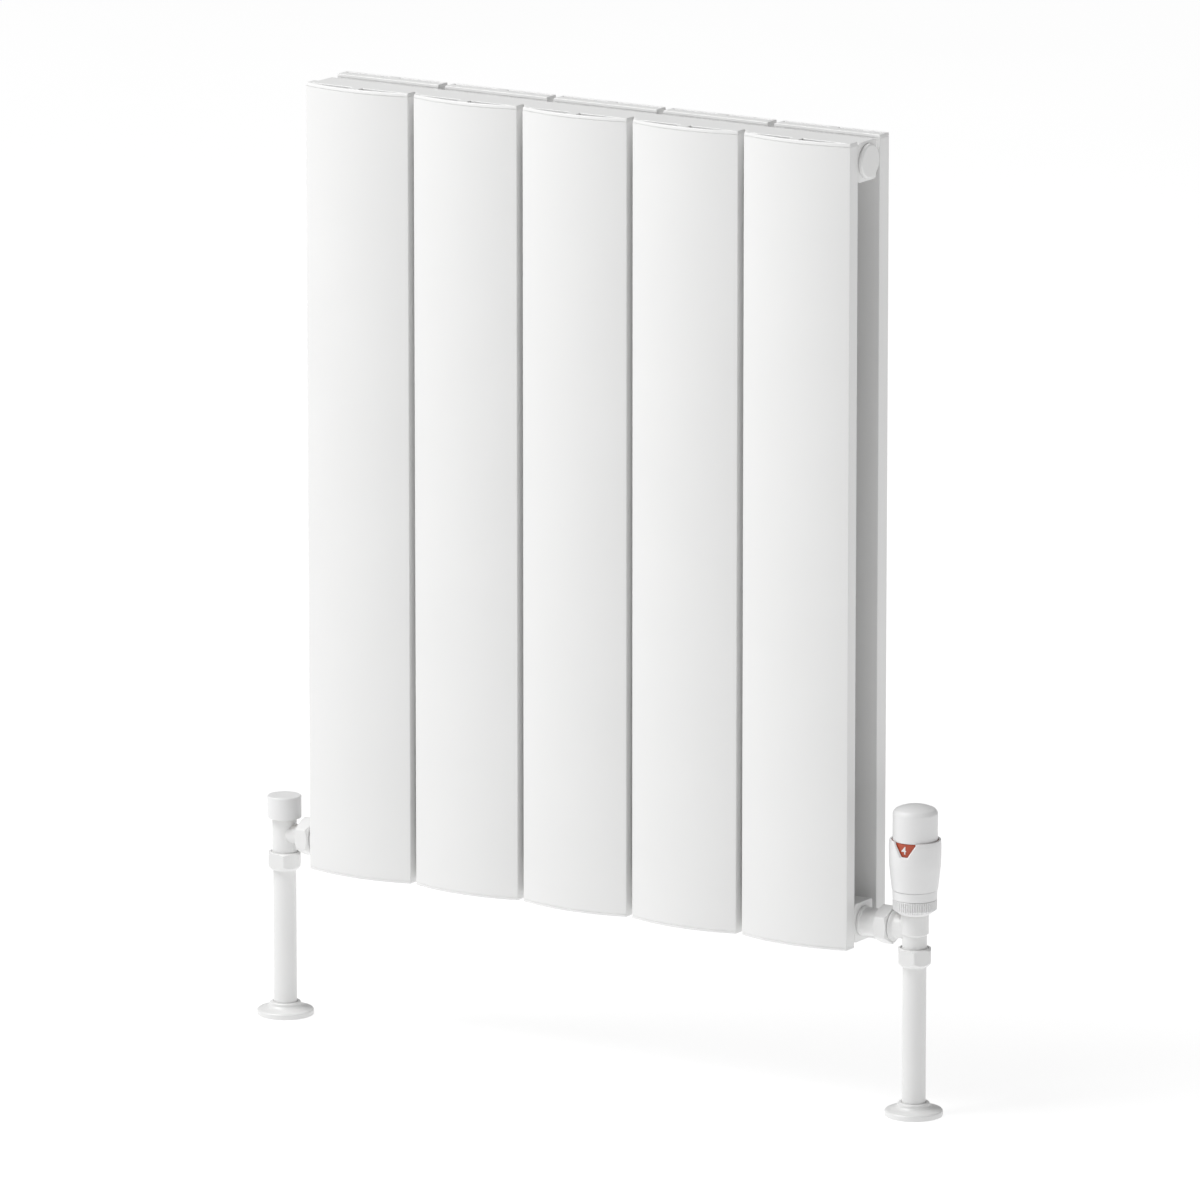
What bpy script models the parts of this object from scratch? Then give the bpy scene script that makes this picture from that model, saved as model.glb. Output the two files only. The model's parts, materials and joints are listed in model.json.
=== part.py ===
"""Double-row aluminium radiator with a lockshield valve, a thermostatic valve and its wall brackets.

Dimensions are in millimetres, and MM turns them into Blender's metres. X runs along the radiator, +Y points
at the wall and Z is up. The origin is on the wall plane, at floor level, at the middle of the radiator.
"""

import math

import bmesh
import bpy
from mathutils import Matrix, Vector

MM = 0.001
GAP = 0.3  # clearance left between two pieces that touch
OUTER_SIDES = 20  # facets round a large turned piece
INNER_SIDES = 12  # facets round a small or hidden one

# Radiator
SECTION_COUNT = 5
PITCH = 95.0
SECTION_WIDTH = 90.0
SECTION_BOTTOM = 123.0
SECTION_HEIGHT = 600.0
SECTION_TOP = SECTION_BOTTOM + SECTION_HEIGHT
HALF_LENGTH = ((SECTION_COUNT - 1) * PITCH + SECTION_WIDTH) / 2
WEB_HALF = 4.5  # half of the web that joins a face plate to its water chamber
END_CAP = 3.0  # closed ends of each water chamber
CHAMBER_WALL = 1.6

# Depths, all from the wall plane
REAR_BACK = -30.0
REAR_FRONT = -43.0
MANIFOLD_BACK = -48.3
MANIFOLD_FRONT = -73.8
MANIFOLD_Y = (MANIFOLD_BACK + MANIFOLD_FRONT) / 2
FRONT_BACK = MANIFOLD_FRONT - GAP
FRONT_CORNER = -85.0
FRONT_BULGE = 7.5
FACE_PLATE = 2.0

# Headers
MANIFOLD_HEIGHT = 29.4
MANIFOLD_WALL = 2.2
MANIFOLD_END = 12.0  # thick ends that take the threads
TOP_MANIFOLD_Z = SECTION_TOP - 1.4 - MANIFOLD_HEIGHT / 2
BOTTOM_MANIFOLD_Z = SECTION_BOTTOM + 3.3 + MANIFOLD_HEIGHT / 2
PORT_RADIUS = 5.5
STUB_RADIUS = 8.0
STUB_SIDES = 16
PLUG_HEIGHT = 3.2
SEAL_SEAT = 1.1  # depth of the room for a seal between a flange and the header's end
THREAD_RADIUS = 9.9

# Valves
PORT_Z = BOTTOM_MANIFOLD_Z
LEFT_X = -(HALF_LENGTH + 38.6)
RIGHT_X = HALF_LENGTH + 43.5
PIPE_RADIUS = 7.5
PIPE_BORE = 6.6
SLEEVE_RADIUS = 8.75
SLEEVE_TOP = 112.7
UNION_NUT_NEAR = 17.5  # from the pipe's axis
UNION_NUT_LENGTH = 11.0
BRANCH_THREAD = UNION_NUT_NEAR + 1.0  # where the thread under the union nut starts
BRANCH_END = UNION_NUT_NEAR + 4.0
THREAD_ENTRY = 10.2  # radius of that thread
UNION_NUT_FLATS = 25.8
COMPRESSION_NUT_FLATS = 23.9
COMPRESSION_NUT_BOTTOM = 113.0
COMPRESSION_NUT_TOP = 126.6
SEAT_Z = 133.0
CHAMBER_RADIUS = 7.4
LOCKSHIELD_TOP = 153.4
THERMOSTATIC_TOP = 152.4
NOTCH_TURN = math.radians(5)  # the skirt's window faces the room, turned a little to the right

# Wall brackets
BRACKET_X = 1.5 * PITCH
BRACKET_STEEL = 3.0

UP = "up"
LEFTWARD = "leftward"
RIGHTWARD = "rightward"
TURNS = {UP: (0, 0, 0), RIGHTWARD: (0, math.pi / 2, 0), LEFTWARD: (0, -math.pi / 2, 0)}


def clear_scene():
    for obj in list(bpy.data.objects):
        bpy.data.objects.remove(obj)


def new_collection(name):
    made = bpy.data.collections.new(name)
    bpy.context.scene.collection.children.link(made)
    return made


clear_scene()
PARTS = new_collection("radiator_with_valve")
CUTTERS = new_collection("cutters")


def material(name, colour, roughness, metallic=0.0):
    made = bpy.data.materials.new(name)
    made.use_nodes = True
    shader = made.node_tree.nodes["Principled BSDF"]
    shader.inputs["Base Color"].default_value = (*colour, 1.0)
    shader.inputs["Roughness"].default_value = roughness
    shader.inputs["Metallic"].default_value = metallic
    return made


WHITE_PAINT = material("white_paint", (0.88, 0.88, 0.87), 0.35)
WHITE_ENAMEL = material("white_enamel", (0.87, 0.87, 0.86), 0.28)
WHITE_PLASTIC = material("white_plastic", (0.86, 0.86, 0.86), 0.32)
RED_PLASTIC = material("red_plastic", (0.55, 0.11, 0.05), 0.4)
BLACK_RUBBER = material("black_rubber", (0.03, 0.03, 0.03), 0.75)
BRASS = material("brass", (0.72, 0.52, 0.22), 0.3, 1.0)
COPPER = material("copper", (0.75, 0.38, 0.24), 0.35, 1.0)
STEEL = material("steel", (0.6, 0.6, 0.6), 0.3, 1.0)
ZINC_STEEL = material("zinc_steel", (0.62, 0.63, 0.64), 0.4, 1.0)
NYLON = material("nylon", (0.8, 0.8, 0.76), 0.5)


# Shapes


def place(obj, skin):
    """Puts a new object among the parts with its material, or among the cutters when it has none."""
    if skin is None:
        CUTTERS.objects.link(obj)
        obj.hide_render = True
        obj.display_type = "WIRE"
        return obj
    obj.data.materials.append(skin)
    PARTS.objects.link(obj)
    return obj


def box(name, low, high, skin=None):
    """A block between two corners."""
    low, high = Vector(low) * MM, Vector(high) * MM
    mesh = bpy.data.meshes.new(name)
    form = bmesh.new()
    bmesh.ops.create_cube(form, size=1.0, matrix=Matrix.Diagonal((*(high - low), 1.0)))
    form.to_mesh(mesh)
    form.free()
    obj = bpy.data.objects.new(name, mesh)
    obj.location = (low + high) / 2
    return place(obj, skin)


def turned(name, profile, at, skin=None, facing=UP, sides=OUTER_SIDES, closed=True):
    """A shape turned about an axis through `at`. The profile's (radius, height) points run down its outer
    side. A closed profile is a ring, and an open one starts and ends on the axis."""
    mesh = bpy.data.meshes.new(name)
    form = bmesh.new()
    points = [form.verts.new((radius * MM, 0.0, height * MM)) for radius, height in profile]
    for start, end in zip(points, points[1:]):
        form.edges.new((start, end))
    if closed:
        form.edges.new((points[-1], points[0]))
    form.to_mesh(mesh)
    form.free()
    obj = bpy.data.objects.new(name, mesh)
    obj.location = Vector(at) * MM
    obj.rotation_euler = TURNS[facing]
    screw = obj.modifiers.new("turn", "SCREW")
    screw.steps = sides
    screw.render_steps = sides
    screw.use_merge_vertices = True
    screw.merge_threshold = 0.00001
    return place(obj, skin)


def tube(name, outer, bore, bottom, top, at, skin=None, facing=UP, sides=OUTER_SIDES):
    profile = [(outer, top), (outer, bottom), (bore, bottom), (bore, top)]
    return turned(name, profile, at, skin, facing, sides)


def rod(name, radius, bottom, top, at, skin=None, facing=UP, sides=OUTER_SIDES):
    profile = [(0, top), (radius, top), (radius, bottom), (0, bottom)]
    return turned(name, profile, at, skin, facing, sides, closed=False)


def extruded(name, loops, thickness, at, skin=None, turn=(0, 0, 0)):
    """A flat outline, with its holes, given thickness along its own Z."""
    curve = bpy.data.curves.new(name, "CURVE")
    curve.dimensions = "2D"
    curve.fill_mode = "BOTH"
    curve.extrude = thickness * MM / 2
    for loop in loops:
        spline = curve.splines.new("POLY")
        spline.points.add(len(loop) - 1)
        for point, (across, along) in zip(spline.points, loop):
            point.co = (across * MM, along * MM, 0.0, 1.0)
        spline.use_cyclic_u = True
    sketch = bpy.data.objects.new(name + "_outline", curve)
    CUTTERS.objects.link(sketch)
    bpy.context.view_layer.update()
    graph = bpy.context.evaluated_depsgraph_get()
    mesh = bpy.data.meshes.new_from_object(sketch.evaluated_get(graph))
    mesh.name = name
    bpy.data.objects.remove(sketch)
    form = bmesh.new()
    form.from_mesh(mesh)
    bmesh.ops.remove_doubles(form, verts=form.verts, dist=0.000001)
    bmesh.ops.recalc_face_normals(form, faces=form.faces)
    form.to_mesh(mesh)
    form.free()
    obj = bpy.data.objects.new(name, mesh)
    obj.location = Vector(at) * MM
    obj.rotation_euler = turn
    return place(obj, skin)


def coil(name, radius, wire, bottom, top, turns, at, skin):
    """A compression spring about a vertical axis, as a wire along a helix."""
    steps = turns * INNER_SIDES
    rise = (top - bottom - 2 * wire) / steps
    curve = bpy.data.curves.new(name, "CURVE")
    curve.dimensions = "3D"
    curve.bevel_depth = wire * MM
    curve.bevel_resolution = 1
    curve.use_fill_caps = True
    spline = curve.splines.new("POLY")
    spline.points.add(steps)
    for step, point in enumerate(spline.points):
        angle = 2 * math.pi * step / INNER_SIDES
        height = bottom + wire + rise * step
        point.co = (radius * MM * math.cos(angle), radius * MM * math.sin(angle), height * MM, 1.0)
    obj = bpy.data.objects.new(name, curve)
    obj.location = Vector(at) * MM
    return place(obj, skin)


def combine(obj, other, operation):
    boolean = obj.modifiers.new(other.name, "BOOLEAN")
    boolean.operation = operation
    boolean.object = other


def cut(obj, *cutters):
    for cutter in cutters:
        combine(obj, cutter, "DIFFERENCE")


def hex_nut(name, flats, near, far, bore, at, facing):
    """A six-sided nut whose corners point up and down, or along X when it stands upright."""
    mesh = bpy.data.meshes.new(name)
    form = bmesh.new()
    radius = flats * MM / math.sqrt(3)
    depth = (far - near) * MM
    middle = Matrix.Translation((0, 0, (near + far) / 2 * MM))
    corners = Matrix.Rotation(math.pi / 6, 4, "Z")
    bmesh.ops.create_cone(
        form, cap_ends=True, segments=6, radius1=radius, radius2=radius, depth=depth, matrix=middle @ corners
    )
    form.to_mesh(mesh)
    form.free()
    nut = bpy.data.objects.new(name, mesh)
    nut.location = Vector(at) * MM
    nut.rotation_euler = TURNS[facing]
    place(nut, WHITE_ENAMEL)
    cut(nut, turned(name + "_bore", bore, at, facing=facing, closed=False))


# Radiator


def section_x(index):
    return (index - (SECTION_COUNT - 1) / 2) * PITCH


def face_arc(inset, half_width, count):
    """Points from left to right along the curved face, moved back by `inset`."""
    half = SECTION_WIDTH / 2
    radius = (half**2 + FRONT_BULGE**2) / (2 * FRONT_BULGE)
    centre = FRONT_CORNER - FRONT_BULGE + radius
    points = []
    for step in range(count + 1):
        across = half_width * (2 * step / count - 1)
        points.append((across, centre - math.sqrt((radius - inset) ** 2 - across**2)))
    return points


def port_cutter(name, x, y, z, reach):
    """A hole along Y that lets water pass between a section and a header."""
    hole = rod(name, PORT_RADIUS, -reach, reach, (x, y, z), sides=INNER_SIDES)
    hole.rotation_euler = (math.pi / 2, 0, 0)
    return hole


def chamber_cutter(name, x, front, back):
    low = (x - SECTION_WIDTH / 2 + 2.5, front, SECTION_BOTTOM + END_CAP)
    high = (x + SECTION_WIDTH / 2 - 2.5, back, SECTION_TOP - END_CAP)
    return box(name, low, high)


def front_section(index):
    """A curved face plate on a central web, with a flat water chamber behind it."""
    half = SECTION_WIDTH / 2
    chamber_front = FRONT_CORNER + 1.2
    outline = face_arc(0, half, 16) + [(half, FRONT_BACK), (-half, FRONT_BACK)]
    inner = [point for point in face_arc(FACE_PLATE, half - 5.0, 16) if point[0] > WEB_HALF]
    right = [(WEB_HALF, chamber_front), (WEB_HALF, inner[0][1])] + inner + [(half - 5.0, chamber_front)]
    left = [(-across, along) for across, along in reversed(right)]
    x = section_x(index)
    name = f"front_section_{index + 1}"
    middle = (x, 0, SECTION_BOTTOM + SECTION_HEIGHT / 2)
    section = extruded(name, [outline, right, left], SECTION_HEIGHT, middle, WHITE_PAINT)
    back = FRONT_BACK - CHAMBER_WALL
    cut(section, chamber_cutter(name + "_chamber", x, chamber_front + CHAMBER_WALL, back))
    for label, z in (("bottom", BOTTOM_MANIFOLD_Z), ("top", TOP_MANIFOLD_Z)):
        cut(section, port_cutter(f"{name}_{label}_port", x, FRONT_BACK, z, 2 * CHAMBER_WALL))


def rear_section(index):
    """A flat water chamber with a thin plate behind it, towards the wall."""
    half = SECTION_WIDTH / 2
    outline = [(-half, REAR_BACK), (-half, REAR_FRONT), (half, REAR_FRONT), (half, REAR_BACK)]
    slot_back = REAR_BACK - FACE_PLATE
    slot_front = slot_back - 2.6
    slot = [(WEB_HALF, slot_front), (half - 3, slot_front), (half - 3, slot_back), (WEB_HALF, slot_back)]
    mirrored = [(-across, along) for across, along in reversed(slot)]
    x = section_x(index)
    name = f"rear_section_{index + 1}"
    middle = (x, 0, SECTION_BOTTOM + SECTION_HEIGHT / 2)
    section = extruded(name, [outline, slot, mirrored], SECTION_HEIGHT, middle, WHITE_PAINT)
    front = REAR_FRONT + CHAMBER_WALL
    cut(section, chamber_cutter(name + "_chamber", x, front, slot_front - CHAMBER_WALL))
    for label, z in (("bottom", BOTTOM_MANIFOLD_Z), ("top", TOP_MANIFOLD_Z)):
        cut(section, port_cutter(f"{name}_{label}_port", x, REAR_FRONT, z, 2 * CHAMBER_WALL))


def manifold(name, z):
    """A rectangular header: one port and one rearward stub for each section, and a thread at each end."""
    half_height = MANIFOLD_HEIGHT / 2
    low = (-HALF_LENGTH, MANIFOLD_FRONT, z - half_height)
    high = (HALF_LENGTH, MANIFOLD_BACK, z + half_height)
    header = box(name, low, high, WHITE_PAINT)
    for index in range(SECTION_COUNT):
        x = section_x(index)
        stub_end = REAR_FRONT - GAP
        reach = (stub_end - MANIFOLD_BACK + 1.0) / 2
        stub_at = (x, stub_end - reach, z)
        stub = rod(f"{name}_stub_{index + 1}", STUB_RADIUS, -reach, reach, stub_at, sides=STUB_SIDES)
        stub.rotation_euler = (math.pi / 2, 0, 0)
        combine(header, stub, "UNION")
    inner_low = (-HALF_LENGTH + MANIFOLD_END, MANIFOLD_FRONT + MANIFOLD_WALL, low[2] + MANIFOLD_WALL)
    inner_high = (HALF_LENGTH - MANIFOLD_END, MANIFOLD_BACK - MANIFOLD_WALL, high[2] - MANIFOLD_WALL)
    cut(header, box(name + "_hollow", inner_low, inner_high))
    for index in range(SECTION_COUNT):
        cut(header, port_cutter(f"{name}_port_{index + 1}", section_x(index), MANIFOLD_Y, z, 25.0))
    thread_hole = THREAD_RADIUS + GAP
    reach = HALF_LENGTH + 1
    cut(header, rod(name + "_threads", thread_hole, -reach, reach, (0, MANIFOLD_Y, z), facing=RIGHTWARD))


def plug_profile(boss):
    """An end plug seen from the header's end face: a flange with a recess for its seal, and a thread inside."""
    profile = [(boss, 5.2), (boss, PLUG_HEIGHT)] if boss else [(0, PLUG_HEIGHT)]
    profile += [(11.6, PLUG_HEIGHT), (12.75, PLUG_HEIGHT - 0.9), (12.75, GAP), (12.45, GAP)]
    return profile + [(12.45, SEAL_SEAT), (THREAD_RADIUS, SEAL_SEAT), (THREAD_RADIUS, -10.0)]


def blanking_plug():
    end = (HALF_LENGTH, MANIFOLD_Y, TOP_MANIFOLD_Z)
    hollow = [(7.0, -10.0), (7.0, -1.0), (0, -1.0)]
    turned("blanking_plug", plug_profile(0) + hollow, end, WHITE_PAINT, RIGHTWARD, closed=False)
    tube("blanking_plug_seal", 12.1, 10.2, GAP, SEAL_SEAT - GAP, end, BLACK_RUBBER, RIGHTWARD)


def air_vent():
    end = (-HALF_LENGTH, MANIFOLD_Y, TOP_MANIFOLD_Z)
    bore = [(3.3, -10.0), (3.3, 5.2)]
    turned("air_vent_plug", plug_profile(5.5) + bore, end, WHITE_PAINT, LEFTWARD)
    tube("air_vent_seal", 12.1, 10.2, GAP, SEAL_SEAT - GAP, end, BLACK_RUBBER, LEFTWARD)
    shank = [(0, 7.0), (2.2, 7.0), (2.2, 4.0), (3.0, 3.2), (3.0, -6.0), (1.2, -8.0), (0, -8.0)]
    screw = turned("bleed_screw", shank, end, BRASS, LEFTWARD, INNER_SIDES, closed=False)
    head = box("bleed_screw_square", (-10.2, -2.4, -2.4), (-6.3, 2.4, 2.4))
    head.location += Vector(end) * MM
    combine(screw, head, "UNION")


# Wall brackets


def slotted_hole(x, z, radius, half_slot):
    """A vertical slot with round ends."""
    points = []
    for step in range(12):
        angle = math.pi * step / 11
        points.append((x + radius * math.cos(angle), z + half_slot + radius * math.sin(angle)))
    for step in range(12):
        angle = math.pi * (1 + step / 11)
        points.append((x + radius * math.cos(angle), z - half_slot + radius * math.sin(angle)))
    return points


def bracket(name, side, upper):
    """A folded steel angle: one leaf on the wall, and a blade that reaches through the gap between two rear
    sections to the header. The lower ones are the same piece upside down."""
    manifold_edge = TOP_MANIFOLD_Z - MANIFOLD_HEIGHT / 2 if upper else BOTTOM_MANIFOLD_Z + MANIFOLD_HEIGHT / 2
    flip = 1 if upper else -1

    def from_edge(points):
        return [(across, manifold_edge + flip * height) for across, height in points]

    nose_front = MANIFOLD_BACK + 1.5
    blade_outline = from_edge(
        [(0, 14), (-26, 14), (-38, 10), (nose_front, 10), (nose_front, -2.3), (-73.0, -2.3)]
        + [(-73.0, -12), (-66, -18), (-30, -30), (0, -44)]
    )
    leaf_width = 36.0
    blade_x = side * BRACKET_X
    leaf_reach = -side * (leaf_width - BRACKET_STEEL / 2)
    leaf_outline = from_edge([(0, 22), (leaf_reach, 22), (leaf_reach, -50), (0, -50)])
    leaf_middle = leaf_reach / 2
    slot = slotted_hole(leaf_middle, manifold_edge + flip * 8, 3.5, 4.0)
    hole = slotted_hole(leaf_middle, manifold_edge - flip * 36, 3.5, 0.01)
    # The outline of the blade is drawn in Y and Z, and that of the leaf in X and Z.
    blade = extruded(name + "_blade", [blade_outline], BRACKET_STEEL, (blade_x, 0, 0))
    blade.rotation_euler = (math.pi / 2, 0, math.pi / 2)
    leaf_at = (blade_x, -BRACKET_STEEL / 2, 0)
    leaf = extruded(name, [leaf_outline, slot, hole], BRACKET_STEEL, leaf_at, ZINC_STEEL, (math.pi / 2, 0, 0))
    combine(leaf, blade, "UNION")


def bracket_pad(name, side):
    """A nylon saddle clipped over an upper bracket's blade, which the top header rests on."""
    top = TOP_MANIFOLD_Z - MANIFOLD_HEIGHT / 2 - GAP
    blade_top = top + GAP - 2.3
    half_blade = BRACKET_STEEL / 2 + GAP
    half = half_blade + 1.4
    skirt = blade_top - 6.0
    outline = [(-half, top), (half, top), (half, skirt), (half_blade, skirt)]
    outline += [(half_blade, blade_top + GAP), (-half_blade, blade_top + GAP), (-half_blade, skirt), (-half, skirt)]
    at = (side * BRACKET_X, MANIFOLD_Y - 0.5, 0)
    extruded(name, [outline], 21.0, at, NYLON, (math.pi / 2, 0, 0))


# Valves


def valve_body(name, at, facing, outer_profile, top, branch_profile):
    """An angle valve: pipe below, seat above it, open top for the headwork and a branch to the radiator."""
    x, y, _ = at
    axis = (x, y, 0)
    thread = [(10.0, 126.0), (10.0, 118.3), (0, 118.3)]
    body = turned(name, [(0, top)] + outer_profile + thread, axis, WHITE_ENAMEL, closed=False)
    branch = [(0, BRANCH_END), (THREAD_ENTRY, BRANCH_END), (THREAD_ENTRY, BRANCH_THREAD)]
    branch += branch_profile + [(branch_profile[-1][0], 0), (0, 0)]
    combine(body, turned(name + "_branch", branch, at, facing=facing, closed=False), "UNION")
    waterway = [(0, top + 1), (CHAMBER_RADIUS, top + 1), (CHAMBER_RADIUS, SEAT_Z), (5.2, SEAT_Z)]
    waterway += [(5.2, 124.0), (PIPE_RADIUS + GAP, 124.0), (PIPE_RADIUS + GAP, 117.0), (0, 117.0)]
    outlet = rod(name + "_outlet", 5.5, 0, 25.0, at, facing=facing, sides=INNER_SIDES)
    cut(body, turned(name + "_waterway", waterway, axis, closed=False), outlet)


def pipework(side, x, facing):
    """What both valves share: tail piece, union nut, compression joint, pipe, sleeve and floor plate."""
    port = (x, MANIFOLD_Y, PORT_Z)
    axis = (x, MANIFOLD_Y, 0)
    to_header = abs(x) - HALF_LENGTH
    nut_far = UNION_NUT_NEAR + UNION_NUT_LENGTH
    lip = nut_far - 3.0
    seal_seat = to_header - SEAL_SEAT

    tail = [(THREAD_RADIUS, to_header + 11.0), (THREAD_RADIUS, seal_seat), (10.9, seal_seat)]
    tail += [(10.9, to_header - GAP), (11.3, to_header - GAP), (11.3, to_header - 2.3), (10.3, to_header - 2.8)]
    tail += [(10.3, nut_far + GAP), (8.3, nut_far + GAP), (8.3, lip - GAP), (9.8, lip - GAP)]
    tail += [(9.8, BRANCH_END + GAP), (6.0, BRANCH_END + GAP), (6.0, to_header + 11.0)]
    turned(f"{side}_tail_piece", tail, port, WHITE_ENAMEL, facing)
    seal_low, seal_high = seal_seat + GAP, to_header - GAP
    tube(f"{side}_tail_seal", 10.6, THREAD_RADIUS + GAP, seal_low, seal_high, port, BLACK_RUBBER, facing)

    union_bore = [(0, nut_far + 1), (8.6, nut_far + 1), (8.6, lip), (10.5, lip)]
    union_bore += [(10.5, UNION_NUT_NEAR - 1), (0, UNION_NUT_NEAR - 1)]
    hex_nut(f"{side}_union_nut", UNION_NUT_FLATS, UNION_NUT_NEAR, nut_far, union_bore, port, facing)

    bottom, top = COMPRESSION_NUT_BOTTOM, COMPRESSION_NUT_TOP
    nut_bore = [(0, top + 1), (10.3, top + 1), (10.3, bottom + 2.8), (8.1, bottom + 2.8)]
    nut_bore += [(8.1, bottom - 1), (0, bottom - 1)]
    hex_nut(f"{side}_compression_nut", COMPRESSION_NUT_FLATS, bottom, top, nut_bore, axis, UP)

    olive = [(7.8, 118.0), (8.4, 118.0), (9.2, 117.3), (9.2, 116.7), (8.4, 116.1), (7.8, 116.1)]
    turned(f"{side}_olive", olive, axis, BRASS)
    tube(f"{side}_pipe", PIPE_RADIUS, PIPE_BORE, 0, 123.7, axis, COPPER)
    tube(f"{side}_pipe_sleeve", SLEEVE_RADIUS, PIPE_RADIUS + GAP, 0, SLEEVE_TOP, axis, WHITE_ENAMEL)

    plate_bore = SLEEVE_RADIUS + GAP
    plate = [(plate_bore, 10.0), (11.1, 10.0), (11.6, 9.5), (11.8, 7.6), (13.4, 6.0), (17.0, 5.0)]
    plate += [(20.8, 4.4), (21.5, 3.8), (21.5, 0), (plate_bore, 0)]
    turned(f"{side}_floor_plate", plate, axis, WHITE_ENAMEL)


def lockshield_valve():
    axis = (LEFT_X, MANIFOLD_Y, 0)
    port = (LEFT_X, MANIFOLD_Y, PORT_Z)
    outer = [(9.3, LOCKSHIELD_TOP), (9.3, 126.0)]
    branch = [(7.6, BRANCH_THREAD)]
    valve_body("lockshield_body", port, RIGHTWARD, outer, LOCKSHIELD_TOP, branch)

    gland = [(3.3, 160.0), (6.2, 160.0), (6.2, 158.0), (10.6, 158.0), (10.6, 155.0), (9.0, 155.0), (9.0, 153.7)]
    gland += [(7.1, 153.7), (7.1, 147.8), (5.3, 147.8), (5.3, 152.0), (3.3, 152.0)]
    turned("lockshield_gland", gland, axis, BRASS, sides=INNER_SIDES)

    spindle = [(0, 161.0), (3.0, 161.0), (3.0, 151.5), (4.8, 151.5), (4.8, 148.8), (2.6, 148.8)]
    spindle += [(2.6, 141.0), (0, 141.0)]
    stem = turned("lockshield_spindle", spindle, axis, BRASS, sides=INNER_SIDES, closed=False)
    square = box("lockshield_spindle_square", (-2.1, -2.1, 160.5), (2.1, 2.1, 163.5))
    square.location += Vector(axis) * MM
    combine(stem, square, "UNION")

    disc = [(2.9, 146.0), (4.6, 146.0), (4.6, 140.0), (6.4, 140.0), (6.4, 137.7), (0, 137.7), (0, 139.0)]
    disc += [(2.9, 139.0)]
    turned("lockshield_disc", disc, axis, BRASS, sides=INNER_SIDES)
    rod("lockshield_disc_washer", 6.4, 135.6, 137.4, axis, BLACK_RUBBER, sides=INNER_SIDES)

    cap = [(0, 170.3), (12.4, 170.3), (13.0, 169.7), (13.0, 153.0), (11.0, 153.0), (11.0, 168.0), (0, 168.0)]
    turned("lockshield_cap", cap, axis, WHITE_PLASTIC, closed=False)


def thermostatic_valve():
    axis = (RIGHT_X, MANIFOLD_Y, 0)
    port = (RIGHT_X, MANIFOLD_Y, PORT_Z)
    outer = [(10.35, THERMOSTATIC_TOP), (10.35, 137.6), (9.1, 136.4), (9.1, 126.0)]
    collar_end = UNION_NUT_NEAR - GAP
    branch = [(THREAD_ENTRY, collar_end), (11.6, collar_end), (11.6, collar_end - 0.8), (9.0, collar_end - 3.2)]
    valve_body("thermostatic_valve_body", port, LEFTWARD, outer, THERMOSTATIC_TOP, branch)

    insert = [(5.6, 164.2), (7.8, 164.2), (7.8, 158.5), (11.0, 158.5), (11.0, 154.4), (9.6, 154.4)]
    insert += [(9.6, 152.7), (7.1, 152.7), (7.1, 148.2), (2.5, 148.2), (2.5, 152.2), (5.6, 152.2)]
    turned("valve_insert", insert, axis, BRASS, sides=INNER_SIDES)
    gland_nut = [(1.7, 166.2), (7.0, 166.2), (7.0, 164.5), (5.3, 164.5), (5.3, 162.1), (1.7, 162.1)]
    turned("valve_gland_nut", gland_nut, axis, BRASS, sides=INNER_SIDES)
    tube("valve_pin_seal", 5.2, 1.8, 160.6, 161.7, axis, BLACK_RUBBER, sides=INNER_SIDES)

    pin = [(0, 169.6), (1.4, 169.6), (1.4, 159.7), (4.9, 159.7), (4.9, 158.2), (2.2, 158.2)]
    pin += [(2.2, 140.3), (6.2, 140.3), (6.2, 137.7), (0, 137.7)]
    turned("valve_pin", pin, axis, STEEL, sides=INNER_SIDES, closed=False)
    rod("valve_pin_washer", 6.2, 135.4, 137.4, axis, BLACK_RUBBER, sides=INNER_SIDES)
    coil("valve_return_spring", 3.8, 0.45, 152.5, 157.9, 4, axis, STEEL)


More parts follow.
